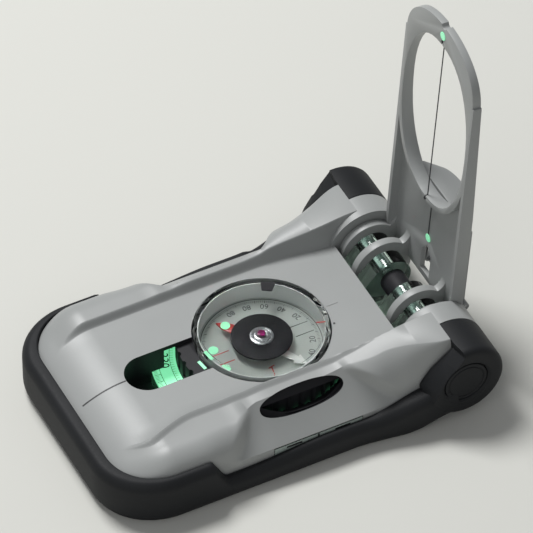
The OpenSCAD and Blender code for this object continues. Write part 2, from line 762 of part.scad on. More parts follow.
module lid_dot(place) {
    color([0.6, 1, 0.75]) on_lid() translate([-place[0], 0, place[1] - 0.1])
        cylinder(r = dot_r, h = 0.5, $fn = fn_bead);
}
module upper_dot() {
    lid_dot(dot_places[1]);
}
module lower_dot() {
    lid_dot(dot_places[0]);
}

// Room in the leaf for the lid's sighting slit
module leaf_slot() {
    translate([-slit_far - 0.6, -slit_half_w - 0.3, 0]) cube([20, 2 * slit_half_w + 0.6, 30]);
}

// Carrier of the mirror, folded flat against the back of the lid, with a thumb tab at its end
module mirror_leaf() {
    color([0.7, 0.72, 0.72]) on_lid() difference() {
        union() {
            translate([-leaf_pin_x - leaf_l, -leaf_half_w, leaf_z])
                cube([leaf_l - 0.6, 2 * leaf_half_w, leaf_t]);
            translate([-leaf_pin_x, 0, leaf_pin_z])
                y_cylinder(leaf_barrel_r, -leaf_half_w, leaf_half_w, fn_bead);
            translate([-leaf_pin_x - leaf_l - leaf_tongue, 0, leaf_z]) {
                translate([0, -tab_w / 2, 0]) cube([leaf_tongue + 1, tab_w, leaf_t]);
                rotate([0, -90, 0]) translate([0, 0, -tab_t]) linear_extrude(height = tab_t) hull() {
                    translate([0, -tab_w / 2]) square([leaf_t, tab_w]);
                    translate([leaf_t + tab_reach - 3, 0]) scale([1, 2.6]) circle(r = 3, $fn = 48);
                }
            }
        }
        leaf_slot();
        translate([-leaf_pin_x, 0, leaf_pin_z]) y_cylinder(leaf_pin_r + fit, -40, 40, fn_bead);
        translate([-leaf_pin_x - leaf_l + 1, -leaf_half_w + 1, leaf_z - 0.1])
            cube([leaf_l - 3.4, 2 * leaf_half_w - 2, 0.7]);
    }
}

// Polished plate let into the leaf, facing the lid
module mirror_plate() {
    color("white") on_lid() difference() {
        translate([-leaf_pin_x - leaf_l + 1.1, -leaf_half_w + 1.1, leaf_z + seat])
            cube([leaf_l - 3.6, 2 * leaf_half_w - 2.2, 0.5]);
        leaf_slot();
    }
}

module mirror_pin() {
    color("silver") on_lid() translate([-leaf_pin_x, 0, leaf_pin_z])
        y_cylinder(leaf_pin_r, 0.1 - leaf_pin_half, leaf_pin_half - 0.1, fn_bead);
}

top_shell();
base_plate();
bumper();
ear_caps();
hinge_pin();
hinge_hub();
case_screws();
rear_index();
dial_ring();
scale_ring();
capsule_cover();
capsule_base();
capsule_seal();
dial_card();
orienting_dots();
dial_marker();
pivot_post();
needle();
needle_disc();
needle_magnet();
needle_bearing();
needle_jewel();
needle_dot();
clino_pointer();
lid_frame();
sighting_wire();
wire_anchors();
upper_dot();
lower_dot();
mirror_leaf();
mirror_plate();
mirror_pin();
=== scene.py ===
import math

import bmesh
import bpy
from mathutils import Matrix, Vector


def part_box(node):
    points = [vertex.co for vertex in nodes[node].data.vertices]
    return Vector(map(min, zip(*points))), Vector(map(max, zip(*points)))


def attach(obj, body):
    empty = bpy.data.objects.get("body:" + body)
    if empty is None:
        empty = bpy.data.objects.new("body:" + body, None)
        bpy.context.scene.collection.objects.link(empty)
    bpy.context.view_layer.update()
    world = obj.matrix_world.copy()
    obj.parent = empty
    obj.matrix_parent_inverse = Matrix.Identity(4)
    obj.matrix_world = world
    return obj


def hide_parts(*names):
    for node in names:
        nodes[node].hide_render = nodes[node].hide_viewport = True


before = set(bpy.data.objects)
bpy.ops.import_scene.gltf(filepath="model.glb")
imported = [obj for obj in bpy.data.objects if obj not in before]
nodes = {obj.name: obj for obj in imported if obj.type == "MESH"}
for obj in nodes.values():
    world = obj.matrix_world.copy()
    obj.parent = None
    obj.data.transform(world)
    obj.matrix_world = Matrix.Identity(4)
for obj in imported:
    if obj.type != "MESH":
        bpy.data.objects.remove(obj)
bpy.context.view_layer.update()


# Floor, lamps and camera: a pale table top under soft studio light, seen from the side
# of the near thumb window. The lens is long, so that the case keeps nearly parallel sides.
MM = 0.001
CAMERA_AZIMUTH = math.radians(-27.1)
CAMERA_ELEVATION = math.radians(46.4)
CAMERA_DISTANCE = 1.5
FRAME_PIXELS = 533
PIXELS_PER_METRE = 4080
SENSOR = 36
# Where the top of the dial's axis lies in the frame, in pixels from the upper left corner
AXIS_TOP = Vector((0, 0, 18 * MM))
AXIS_TOP_PIXEL = (261.6, 325.1)


def add_camera():
    back = Vector((
        math.sin(CAMERA_AZIMUTH) * math.cos(CAMERA_ELEVATION),
        -math.cos(CAMERA_AZIMUTH) * math.cos(CAMERA_ELEVATION),
        math.sin(CAMERA_ELEVATION),
    ))
    right = Vector((math.cos(CAMERA_AZIMUTH), math.sin(CAMERA_AZIMUTH), 0))
    up = back.cross(right)
    middle = FRAME_PIXELS / 2
    aim = AXIS_TOP + right * ((middle - AXIS_TOP_PIXEL[0]) / PIXELS_PER_METRE)
    aim = aim + up * ((AXIS_TOP_PIXEL[1] - middle) / PIXELS_PER_METRE)
    lens = bpy.data.cameras.new("camera")
    lens.sensor_width = SENSOR
    lens.lens = PIXELS_PER_METRE * CAMERA_DISTANCE / FRAME_PIXELS * SENSOR
    lens.clip_end = 20
    camera = bpy.data.objects.new("camera", lens)
    turn = Matrix((right, up, back)).transposed().to_4x4()
    camera.matrix_world = Matrix.Translation(aim + back * CAMERA_DISTANCE) @ turn
    bpy.context.scene.collection.objects.link(camera)
    bpy.context.scene.camera = camera


def add_lamp(name, place, size, power):
    """A round lamp that points at the origin."""
    lamp = bpy.data.lights.new(name, "AREA")
    lamp.shape = "DISK"
    lamp.size = size
    lamp.energy = power
    holder = bpy.data.objects.new(name, lamp)
    place = Vector(place)
    aim = (-place).to_track_quat("-Z", "Y").to_matrix().to_4x4()
    holder.matrix_world = Matrix.Translation(place) @ aim
    bpy.context.scene.collection.objects.link(holder)


def add_floor():
    size = 3.0
    corners = [(-size, -size, 0), (size, -size, 0), (size, size, 0), (-size, size, 0)]
    mesh = bpy.data.meshes.new("table_top")
    mesh.from_pydata(corners, [], [(0, 1, 2, 3)])
    table = bpy.data.objects.new("table_top", mesh)
    bpy.context.scene.collection.objects.link(table)
    paper = bpy.data.materials.new("pale_paper")
    paper.use_nodes = True
    skin = paper.node_tree.nodes["Principled BSDF"]
    skin.inputs["Base Color"].default_value = (0.62, 0.62, 0.58, 1)
    skin.inputs["Roughness"].default_value = 0.9
    table.data.materials.append(paper)


add_camera()
add_floor()
add_lamp("key", (-0.1, 0.5, 0.95), 0.4, 11)
add_lamp("fill", (-0.6, -0.6, 0.6), 0.9, 1.6)
world = bpy.data.worlds.new("room")
world.use_nodes = True
world.node_tree.nodes["Background"].inputs["Color"].default_value = (0.9, 0.92, 0.95, 1)
world.node_tree.nodes["Background"].inputs["Strength"].default_value = 0.26
bpy.context.scene.world = world
bpy.context.scene.view_settings.view_transform = "Standard"


# Top shell: one moulding with deck, rails and scooped shoulders, painted silver-grey outside; the faces
# cut for the rooms, the slot and the windows are black as painted shade. It is lofted from the same
# curves as the solid, with finer steps.
DECK_Z = 16.2
DECK_HALF_W = 18.9
DECK_REAR = 29.2
NOSE = 51.1
HALF_W = 30.6
CORNER = 13
# The deck bends down in front of the slot's front end
BEND_X = -37
SLOT_R = 5.75
SLOT_FLOOR = 5.6
HINGE_X = 38.05
HINGE_Z = 12.95
EAR_R = 10.5
EAR_INNER = 17.35
BOOT_IN = 23.75
SHELL_REAR = 36.5
SHELL_FLOOR = 4.1
CORNER_X = CORNER - NOSE
# Ends of the scoop at the crest of the shoulder; at the side wall it lies further back
SCOOP_FRONT = -18.5
SCOOP_BACK = 9.5
# Rooms for the dial ring and its scale under the deck, and the opening for the capsule
DIAL_ROOM_R = 24.6
SCALE_ROOM_R = 28
SCALE_ROOM_TOP = 9
CEILING = 14.95
CAPSULE_HOLE_R = 17.3
WINDOW_MIDDLE = (-1.2, -24.2, 16.2)
WINDOW_TILT = 46
WINDOW_L = 22.5
WINDOW_H = 6.8
WINDOW_DEPTH = 2.6
NOTCH_HALF_L = 12.2
NOTCH_IN = 29.6
NOTCH_TOP = 9
# Stations of the loft along the sides and round the front corners, and the steps of one
# half of a section over the rail's inner wall and the shoulder
BODY_STEPS = 150
NOSE_STEPS = 18
WALL_STEPS = 12
SHOULDER_STEPS = 22


def grain_group():
    """Fine grain and broad clouds that every moulded or painted surface shares."""
    group = bpy.data.node_groups.new("grain", "ShaderNodeTree")
    group.interface.new_socket("Vector", in_out="INPUT", socket_type="NodeSocketVector")
    for name in ("Fine scale", "Broad scale"):
        group.interface.new_socket(name, in_out="INPUT", socket_type="NodeSocketFloat")
    for name in ("Fine", "Broad"):
        group.interface.new_socket(name, in_out="OUTPUT", socket_type="NodeSocketFloat")
    entry = group.nodes.new("NodeGroupInput")
    leave = group.nodes.new("NodeGroupOutput")
    for name, detail in (("Fine", 4.0), ("Broad", 3.0)):
        noise = group.nodes.new("ShaderNodeTexNoise")
        noise.inputs["Detail"].default_value = detail
        group.links.new(entry.outputs["Vector"], noise.inputs["Vector"])
        group.links.new(entry.outputs[name + " scale"], noise.inputs["Scale"])
        group.links.new(noise.outputs["Fac"], leave.inputs[name])
    return group


GRAIN = grain_group()


def finish(name, dark, light, rough, grain, bump, **sockets):
    """A surface whose colour drifts between two tones, with grain in its gloss and relief."""
    material = bpy.data.materials.new(name)
    material.use_nodes = True
    tree = material.node_tree
    skin = tree.nodes["Principled BSDF"]
    place = tree.nodes.new("ShaderNodeTexCoord")
    noise = tree.nodes.new("ShaderNodeGroup")
    noise.node_tree = GRAIN
    noise.inputs["Fine scale"].default_value = grain[0]
    noise.inputs["Broad scale"].default_value = grain[1]
    tree.links.new(place.outputs["Object"], noise.inputs["Vector"])
    tone = tree.nodes.new("ShaderNodeMix")
    tone.data_type = "RGBA"
    tone.inputs["A"].default_value = (*dark, 1)
    tone.inputs["B"].default_value = (*light, 1)
    tree.links.new(noise.outputs["Broad"], tone.inputs["Factor"])
    tree.links.new(tone.outputs["Result"], skin.inputs["Base Color"])
    gloss = tree.nodes.new("ShaderNodeMapRange")
    gloss.inputs["To Min"].default_value = rough[0]
    gloss.inputs["To Max"].default_value = rough[1]
    tree.links.new(noise.outputs["Fine"], gloss.inputs["Value"])
    tree.links.new(gloss.outputs["Result"], skin.inputs["Roughness"])
    relief = tree.nodes.new("ShaderNodeBump")
    relief.inputs["Strength"].default_value = bump
    relief.inputs["Distance"].default_value = 0.2 * MM
    tree.links.new(noise.outputs["Fine"], relief.inputs["Height"])
    tree.links.new(relief.outputs["Normal"], skin.inputs["Normal"])
    for socket, value in sockets.items():
        skin.inputs[socket.replace("_", " ")].default_value = value
    return material


def linked(name, mesh, material):
    piece = bpy.data.objects.new(name, mesh)
    bpy.context.scene.collection.objects.link(piece)
    piece.data.materials.clear()
    piece.data.materials.append(material)
    return piece


def baked(piece):
    """The piece with its modifiers made part of a plain mesh."""
    graph = bpy.context.evaluated_depsgraph_get()
    mesh = bpy.data.meshes.new_from_object(piece.evaluated_get(graph))
    piece.modifiers.clear()
    old = piece.data
    piece.data = mesh
    bpy.data.meshes.remove(old)
    return piece


silver_paint = finish(
    "silver_paint", (0.285, 0.295, 0.29), (0.335, 0.345, 0.34), (0.34, 0.48), (4200, 45), 0.08,
    Specular_IOR_Level=0.45)
black_plastic = finish(
    "black_plastic", (0.014, 0.014, 0.016), (0.022, 0.022, 0.025), (0.5, 0.65), (3800, 70), 0.1,
    Specular_IOR_Level=0.2)


def ease(t):
    t = min(1.0, max(0.0, t))
    return t * t * (3 - 2 * t)


def half_w(x):
    """Half width of the shell, round the front corners."""
    if x > CORNER_X:
        return HALF_W
    return HALF_W - CORNER + math.sqrt(max(0.0, CORNER ** 2 - (CORNER_X - x) ** 2))


def deck_at(x):
    """Height of the deck, which falls towards the front edge."""
    return DECK_Z - 4.6 * (max(0.0, BEND_X - x) / (NOSE + BEND_X)) ** 2


def scoop(x, t):
    """How far a point of the shoulder lies in its hollow: 0 outside it, 1 within."""
    return ease((x - SCOOP_FRONT + 7 * t) / 5) * (1 - ease((x - SCOOP_BACK - 12.5 * t) / 3.5))


def rail_at(x):
    """Height of the rail above the deck, up to the ear."""
    low = 1.9 * ease((x + 47) / 9) + 1.1 * ease((x + 22) / 14) - 0.5 * scoop(x, 0)
    return low + (HINGE_Z + EAR_R - DECK_Z - 3.05) * ease((x - 4) / 32)


def edge_at(x):
    """Height of the edge between the shoulder and the side wall."""
    low = 12 - 2 * ease((x + 30) / 6) - 0.8 * scoop(x, 1) + 3 * ease((x - 18) / 16)
    return min(deck_at(x) + rail_at(x) - 0.3, low)


def crest_at(x):
    """Distance of the rail's crest from the middle."""
    crest = HALF_W - 6.9 + 1.6 * ease((x + 24) / 14) - 1.5 * ease((x - 6) / 8)
    crest += 5.6 * ease((x - 20) / 17)
    return crest - 3.5 * ease((x + 20) / 8) * (1 - ease((x - 6) / 14))


def shoulder_point(x, t, drop):
    """A point between the crest of the rail (t 0) and the side wall (t 1)."""
    crest = crest_at(x)
    top = deck_at(x) + rail_at(x) - drop * (1 - t)
    edge = edge_at(x)
    hollow = max(scoop(x, t), 0.25 * ease((x - 8) / 6) * (1 - ease((x - 28) / 8)))
    turn = math.radians(90 * t)
    round_point = (crest + (HALF_W - crest) * math.sin(turn), edge + (top - edge) * math.cos(turn))
    sag = 0.6 * math.sin(math.pi * t)
    flat_point = (crest + (HALF_W - crest) * t, edge + (top - edge) * (1 - t) - sag)
    return tuple(r * (1 - hollow) + f * hollow for r, f in zip(round_point, flat_point))


def half_section(x, near):
    """One half of the outline, from the middle of the deck to the foot of the side wall.

    The near rail narrows to a ridge, so near is 1 on that side and 0 on the other.
    """
    foot = DECK_HALF_W + (EAR_INNER + 0.1 - DECK_HALF_W) * ease((x - 12) / 17)
    ridge = near * ease((x + 47) / 8) * (1 - ease((x - 4) / 26))
    foot += ridge * (1 - 4 * ease((x + 45) / 17))
    rows = [(foot * k / 6, deck_at(x)) for k in range(6)]
    for i in range(WALL_STEPS + 1):
        t = i / WALL_STEPS
        rise = rail_at(x) * ease(t * (1 + ridge)) - 0.9 * ridge * ease((t - 0.45) / 0.55)
        rows.append((foot + 0.3 + (1.7 + 1.5 * ridge) * t, deck_at(x) + rise))
    shares = [i / SHOULDER_STEPS for i in range(SHOULDER_STEPS + 1)]
    rows += [shoulder_point(x, t, 0.9 * ridge) for t in shares]
    edge = edge_at(x)
    rows += [(HALF_W, edge + (SHELL_FLOOR - edge) * k / 3) for k in (1, 2, 3)]
    return rows


def full_section(x):
    """The whole outline at a station, drawn in round the front corners."""
    k = half_w(x) / HALF_W
    left = [(x, -a * k, z) for a, z in reversed(half_section(x, 1))]
    return left + [(x, a * k, z) for a, z in half_section(x, 0)[1:]]


def loft_mesh(name, rows):
    """A skin over rows of points in millimetres, closed by a face at each end."""
    points = [tuple(c * MM for c in point) for row in rows for point in row]
    n = len(rows[0])
    faces = []
    for j in range(len(rows) - 1):
        for i in range(n):
            k = (i + 1) % n
            faces.append((j * n + i, (j + 1) * n + i, (j + 1) * n + k, j * n + k))
    faces.append(tuple(range(n)))
    faces.append(tuple(range(len(points) - 1, len(points) - n - 1, -1)))
    mesh = bpy.data.meshes.new(name)
    mesh.from_pydata(points, [], faces)
    shape = bmesh.new()
    shape.from_mesh(mesh)
    bmesh.ops.recalc_face_normals(shape, faces=shape.faces)
    shape.to_mesh(mesh)
    shape.free()
    return mesh


def prism(outline, z0, z1):
    """A closed block over a flat outline, in millimetres."""
    return loft_mesh("block", [[(x, y, z0) for x, y in outline], [(x, y, z1) for x, y in outline]])


def circle(r, count=96, x=0.0, y=0.0):
    angles = [math.tau * i / count for i in range(count)]
    return [(x + r * math.cos(a), y + r * math.sin(a)) for a in angles]


def box_outline(x0, y0, x1, y1):
    return [(x0, y0), (x1, y0), (x1, y1), (x0, y1)]


def oval(a, b, power, count):
    """An elliptical outline with fuller corners as the power grows."""
    rows = []
    for i in range(count):
        c, s = math.cos(math.tau * i / count), math.sin(math.tau * i / count)
        x = math.copysign(abs(c) ** (2 / power), c) * a
        y = math.copysign(abs(s) ** (2 / power), s) * b
        rows.append((x, y))
    return rows


def turned_to_y(mesh):
    """Lays a block that was drawn along Z onto the hinge axis, along Y."""
    axis = Matrix.Translation((HINGE_X * MM, 0, HINGE_Z * MM))
    mesh.transform(axis @ Matrix.Rotation(math.radians(-90), 4, "X"))
    return mesh


def cut(piece, mesh, material, how="DIFFERENCE"):
    """Cuts a block out of a piece, or joins it on; its faces bring their own material."""
    tool = linked("tool", mesh, material)
    step = piece.modifiers.new("cut", "BOOLEAN")
    step.operation = how
    step.solver = "EXACT"
    step.material_mode = "TRANSFER"
    step.object = tool
    baked(piece)
    bpy.data.objects.remove(tool)
    return piece


def both_sides(mesh):
    """A mesh and its mirror image on the far side."""
    other = mesh.copy()
    other.transform(Matrix.Scale(-1, 4, (0, 1, 0)))
    other.flip_normals()
    return [mesh, other]


def smoothed(piece, sharp, width=0.0):
    """Smooth shading between sharp edges, which get a small bevel where a width is given."""
    if width:
        bevel = piece.modifiers.new("edges", "BEVEL")
        bevel.width = width * MM
        bevel.segments = 2
        bevel.limit_method = "ANGLE"
        bevel.angle_limit = math.radians(sharp)
        baked(piece)
    for face in piece.data.polygons:
        face.use_smooth = True
    piece.data.set_sharp_from_angle(angle=math.radians(sharp))
    return piece


def placed(piece, slot, body, *stands_for):
    """Puts a piece on its body and hides the solids that it stands for. The slot is not used."""
    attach(piece, body)
    if stands_for:
        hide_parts(*stands_for)
    return piece


def make_shell():
    """The loft with its ears, then every opening cut from it."""
    below, above = -5, 45
    stations = [CORNER_X + (SHELL_REAR - CORNER_X) * i / BODY_STEPS for i in range(BODY_STEPS, 0, -1)]
    turns = [math.radians(90 * i / NOSE_STEPS) for i in range(NOSE_STEPS + 1)]
    stations += [CORNER_X - CORNER * math.sin(a) for a in turns]
    skin = loft_mesh("shell", [full_section(x) for x in stations])
    shell = linked("shell_moulding", skin, silver_paint)
    for side in both_sides(turned_to_y(prism(circle(EAR_R - 0.05), EAR_INNER - 0.01, BOOT_IN))):
        cut(shell, side, silver_paint, "UNION")
    hinge_room = box_outline(DECK_REAR, -EAR_INNER, 60, EAR_INNER)
    cut(shell, prism(hinge_room, below, above), silver_paint)
    # The dial and scale rooms, the slot and the windows get black cut faces: painted shade inside the
    # openings.
    cut(shell, prism(circle(DIAL_ROOM_R), SHELL_FLOOR - 1.1, CEILING), black_plastic)
    cut(shell, prism(circle(SCALE_ROOM_R), SHELL_FLOOR - 1.1, SCALE_ROOM_TOP), black_plastic)
    cut(shell, prism(circle(CAPSULE_HOLE_R), 5, above), silver_paint)
    turns = [math.pi / 2 + math.pi * i / 32 for i in range(33)]
    slot = [(BEND_X + SLOT_R + SLOT_R * math.cos(a), SLOT_R * math.sin(a)) for a in turns]
    slot += [(0, -SLOT_R), (0, SLOT_R)]
    cut(shell, prism(slot, SLOT_FLOOR, above), black_plastic)
    window = prism(oval(WINDOW_L / 2, WINDOW_H / 2, 2.3, 64), -WINDOW_DEPTH, 7)
    middle = Matrix.Translation([c * MM for c in WINDOW_MIDDLE])
    window.transform(middle @ Matrix.Rotation(math.radians(WINDOW_TILT), 4, "X"))
    for side in both_sides(window):
        cut(shell, side, black_plastic)
    notch = box_outline(-NOTCH_HALF_L, NOTCH_IN, NOTCH_HALF_L, HALF_W + 2.4)
    for side in both_sides(prism(notch, -1, NOTCH_TOP)):
        cut(shell, side, silver_paint)
    smoothed(shell, 38)
    placed(shell, "painted_plastic", "case", "top_shell")


make_shell()


# Deck marks: a thin printed index line from the front edge to the slot, and a dark point
# beside the capsule. The small rib behind the capsule has the colour of the shell.
PRINT_T = 0.03


def strip(points, width, z_of, lift=PRINT_T):
    """A thin raised strip of print along a line on a surface."""
    rows = []
    for i, (x, y) in enumerate(points):
        x0, y0 = points[max(0, i - 1)]
        x1, y1 = points[min(len(points) - 1, i + 1)]
        span = math.hypot(x1 - x0, y1 - y0)
        nx, ny = (y0 - y1) / span * width / 2, (x1 - x0) / span * width / 2
        left, right = (x - nx, y - ny), (x + nx, y + ny)
        z = z_of(x)
        rows.append([(*left, z), (*right, z), (*right, z + lift), (*left, z + lift)])
    return loft_mesh("strip", rows)


def joined(meshes, name):
    """One mesh from several."""
    shape = bmesh.new()
    for mesh in meshes:
        shape.from_mesh(mesh)
        bpy.data.meshes.remove(mesh)
    whole = bpy.data.meshes.new(name)
    shape.to_mesh(whole)
    shape.free()
    return whole


def refinish(node, material):
    """Gives a solid that is shown as it is its surface."""
    nodes[node].data.materials.clear()
    nodes[node].data.materials.append(material)


dark_ink = finish(
    "dark_ink", (0.012, 0.012, 0.013), (0.03, 0.03, 0.032), (0.45, 0.6), (3000, 150), 0.02)
INDEX_START = -48.9
INDEX_L = 11.8
INDEX_W = 0.42
POINT_R = 0.3
POINT_X = 16.9
POINT_Y = -6.1
index_line = [(INDEX_START + INDEX_L * i / 16, 0) for i in range(17)]
dark_point = prism(circle(POINT_R, 20, POINT_X, POINT_Y), DECK_Z, DECK_Z + 0.05)
deck_marks = [strip(index_line, INDEX_W, deck_at), dark_point]
placed(linked("deck_marks", joined(deck_marks, "deck_marks"), dark_ink), "black_plastic", "case")
refinish("rear_index", silver_paint)


# Bumper and ear caps: soft dark rubber moulded round the case, with a rounded boot over
# each ear. The caps are pressed into the boots and have a fine ring in their face.
def rounded(outline, steps=4):
    """An outline whose corners (point and radius) are rounded by arcs."""
    rows = []
    count = len(outline)
    for i, (px, py, r) in enumerate(outline):
        ax, ay, _ = outline[i - 1]
        bx, by, _ = outline[(i + 1) % count]
        la, lb = math.hypot(ax - px, ay - py), math.hypot(bx - px, by - py)
        r = min(r, la * 0.48, lb * 0.48)
        start = (px + (ax - px) / la * r, py + (ay - py) / la * r)
        end = (px + (bx - px) / lb * r, py + (by - py) / lb * r)
        for k in range(steps + 1):
            t = k / steps
            bend = zip(start, (px, py), end)
            rows.append(tuple((1 - t) ** 2 * s + 2 * t * (1 - t) * c + t * t * e for s, c, e in bend))
    return rows


RUBBER_T = 2.8
RUBBER_FRONT_T = 1.4
RUBBER_H = 11.8
RUBBER_LIP = 1.6


def rubber_section(px, py, dx, dy):
    """Outline of the rubber at a place on the wall, seen along the wall."""
    t = RUBBER_T + RUBBER_FRONT_T * dx * dx + 2.3 * ease((px - 8) / 22)
    lip = RUBBER_LIP * (1 - ease((px + 29.5) / 1.5))
    top = RUBBER_H - 5.2 * ease((px + 29) / 4) + 1.4 * ease((px + 20) / 22)
    top += 3.6 * ease((px - 13) / 17) + lip
    # The far side stands higher between the front and the window
    top += max(0.0, dy) * ease((px + 24) / 3) * (1 - ease((px - 11) / 3))
    foot = 2.6 * ease((px - 22) / 13)
    outline = rounded([
        (0.1, foot, 0.2), (t - 1.2, foot, 0.8), (t, foot + 2.2, 1.8), (t, top - 1.9, 2.0),
        (t - 1.5, top - 0.1, 1.0), (0.1, top, 0.35)])
    return [(px + dx * a, py + dy * a, z) for a, z in outline]


def rubber_band():
    """The rubber along both sides and round the front."""
    side_steps = 90
    length = SHELL_REAR - 0.6 - CORNER_X
    side = [CORNER_X + length * i / side_steps for i in range(1, side_steps + 1)]
    path = [(x, -HALF_W, 0, -1) for x in reversed(side)]
    for sign in (-1, 1):
        turns = [math.radians(90 * i / NOSE_STEPS) for i in range(NOSE_STEPS + 1)]
        for a in (turns if sign < 0 else reversed(turns)):
            d = (-math.sin(a), sign * math.cos(a))
            path.append((CORNER_X + CORNER * d[0], sign * (HALF_W - CORNER) + CORNER * d[1], *d))
    path += [(x, HALF_W, 0, 1) for x in side]
    return loft_mesh("band", [rubber_section(*p) for p in path])


def lathe(profile, count=96):
    """A closed body turned round Z from rows of radius and height, in millimetres."""
    rows = []
    for i in range(count):
        c, s = math.cos(math.tau * i / count), math.sin(math.tau * i / count)
        rows.append([(r * c, r * s, z) for r, z in profile])
    n = len(profile)
    points = [tuple(v * MM for v in p) for row in rows for p in row]
    faces = []
    for j in range(count):
        for i in range(n):
            a, b = j * n + i, j * n + (i + 1) % n
            c, d = (j + 1) % count * n + (i + 1) % n, (j + 1) % count * n + i
            faces.append((a, b, c, d))
    mesh = bpy.data.meshes.new("lathe")
    mesh.from_pydata(points, [], faces)
    shape = bmesh.new()
    shape.from_mesh(mesh)
    bmesh.ops.remove_doubles(shape, verts=shape.verts, dist=1e-8)
    bmesh.ops.dissolve_degenerate(shape, edges=shape.edges, dist=1e-8)
    bmesh.ops.recalc_face_normals(shape, faces=shape.faces)
    shape.to_mesh(mesh)
    shape.free()
    return mesh


EAR_OUT = 35.8
CORE_R = 8.7
CORE_OUT = 26.9
CAP_R = 5.75
CAP_SEAT_R = 5.95
CAP_SEAT = EAR_OUT - 1.6
rubber = finish(
    "rubber", (0.008, 0.009, 0.01), (0.015, 0.016, 0.018), (0.5, 0.7), (3500, 50), 0.22,
    Specular_IOR_Level=0.25)


def make_bumper():
    """The rubber with its two boots, and the caps in their ends."""
    boot = turned_to_y(lathe(rounded([
        (CORE_R, BOOT_IN + 0.05, 0.05), (EAR_R, BOOT_IN + 0.05, 0.5), (EAR_R, EAR_OUT, 2.2),
        (6.6, EAR_OUT, 0.3), (CAP_SEAT_R, EAR_OUT - 0.5, 0.2), (CAP_SEAT_R, CAP_SEAT, 0.05),
        (0.0, CAP_SEAT, 0.0), (0.0, CORE_OUT, 0.0), (CORE_R, CORE_OUT, 0.05)], 5)))
    piece = linked("boot", boot, rubber)
    # In front of the hinge axis the boot leaves the shell's silver side open
    silver_side = box_outline(0, 20, SHELL_REAR + 0.1, HALF_W + 0.1)
    cut(piece, prism(silver_side, -5, 40), rubber)
    # The front edge is hollowed: outlines along X and Z at three distances from the middle
    inner = [(20, 25), (36.6, 25), (36.6, 21.5), (33.3, 19), (30.5, 16.8), (28.2, 13.8), (26.4, 10.5),
             (24, 8.5), (20, 8.5)]
    outer = [(20, 25), (37.4, 25), (37.4, 22), (35.2, 19), (32.6, 15.5), (30.6, 12), (29, 8), (27, 6),
             (20, 6)]
    levels = ((20, inner), (31.5, inner), (36.5, outer))
    cut(piece, loft_mesh("hollow", [[(x, y, z) for x, z in outline] for y, outline in levels]), rubber)
    boots = both_sides(piece.data.copy())
    bpy.data.objects.remove(piece)
    bumper = linked("bumper_moulding", joined([rubber_band(), *boots], "bumper"), rubber)
    placed(smoothed(bumper, 42), "rubber", "case", "bumper")
    face = EAR_OUT - 0.35
    groove = EAR_OUT - 0.6
    cap = turned_to_y(lathe(rounded([
        (0.0, CAP_SEAT + 0.1, 0.0), (CAP_R, CAP_SEAT + 0.1, 0.05), (CAP_R, face, 0.3), (5.0, face, 0.1),
        (4.85, groove, 0.1), (4.6, groove, 0.1), (4.45, face, 0.1), (0.0, EAR_OUT - 0.3, 0.0)], 3)))
    caps = linked("ear_cap_mouldings", joined(both_sides(cap), "caps"), rubber)
    placed(smoothed(caps, 42), "rubber", "case", "ear_caps")


make_bumper()


# Base plate: clear polycarbonate with the hinge barrels and the ring that guides the dial.
# It shows at the hinge and in the notch of the shell, as a grey-green strip with dark marks.
def merged_copy(node):
    """A copy of a solid's mesh with its triangles joined and its flat faces whole."""
    mesh = nodes[node].data.copy()
    shape = bmesh.new()
    shape.from_mesh(mesh)
    bmesh.ops.remove_doubles(shape, verts=shape.verts, dist=2e-6)
    bmesh.ops.dissolve_limit(shape, angle_limit=math.radians(0.5), verts=shape.verts, edges=shape.edges)
    shape.to_mesh(mesh)
    shape.free()
    return mesh


def eased(node, material, slot, body, width):
    """Stands in for a solid, with slightly rounded edges."""
    sharp = 32
    piece = linked(node + "_finished", merged_copy(node), material)
    return placed(smoothed(piece, sharp, width), slot, body, node)


# The light green tint is painted light: the green glow of the luminous ring seen in the clear plate and
# its barrels.
clear_plate = finish(
    "clear_plate", (0.74, 0.95, 0.85), (0.82, 0.98, 0.9), (0.02, 0.07), (900, 40), 0.02,
    Transmission_Weight=1.0, IOR=1.45)
refinish("base_plate", clear_plate)
plate_edge = finish(
    "plate_edge", (0.3, 0.36, 0.33), (0.42, 0.48, 0.45), (0.15, 0.25), (1500, 120), 0.03)
STRIP_HALF_L = 12
STRIP_Z = (5.4, 8.6)
STRIP_SIDES = (30.5, 30.56)
MARK_OUT = 30.57
MARK_HALF_T = 0.02
MARK_Z = 7.9
notch_strips = []
notch_marks = []
for sign in (-1, 1):
    y0, y1 = sorted(sign * side for side in STRIP_SIDES)
    notch_strips.append(prism(box_outline(-STRIP_HALF_L, y0, STRIP_HALF_L, y1), *STRIP_Z))
    y0, y1 = sign * MARK_OUT - MARK_HALF_T, sign * MARK_OUT + MARK_HALF_T
    # A short middle line between two long dashes: place, width and height
    for x, w, h in ((0, 0.5, 1.4), (-6.6, 4.2, 0.6), (6.6, 4.2, 0.6)):
        mark = box_outline(x - w / 2, y0, x + w / 2, y1)
        notch_marks.append(prism(mark, MARK_Z - h / 2, MARK_Z + h / 2))
placed(linked("notch_strips", joined(notch_strips, "notch_strips"), plate_edge), "clear_plate", "case")
placed(linked("notch_marks", joined(notch_marks, "notch_marks"), dark_ink), "black_plastic", "case")


# Hinge pin, hub and case screws: a steel pin through both ears and all knuckles,
# a dark plastic hub in the middle, and four slotted steel screws from below.
turned_steel = finish(
    "turned_steel", (0.5, 0.5, 0.52), (0.62, 0.62, 0.63), (0.2, 0.36), (5200, 90), 0.05, Metallic=1.0)
refinish("hinge_pin", turned_steel)
eased("hinge_hub", black_plastic, "black_plastic", "case", 0.35)
refinish("case_screws", turned_steel)
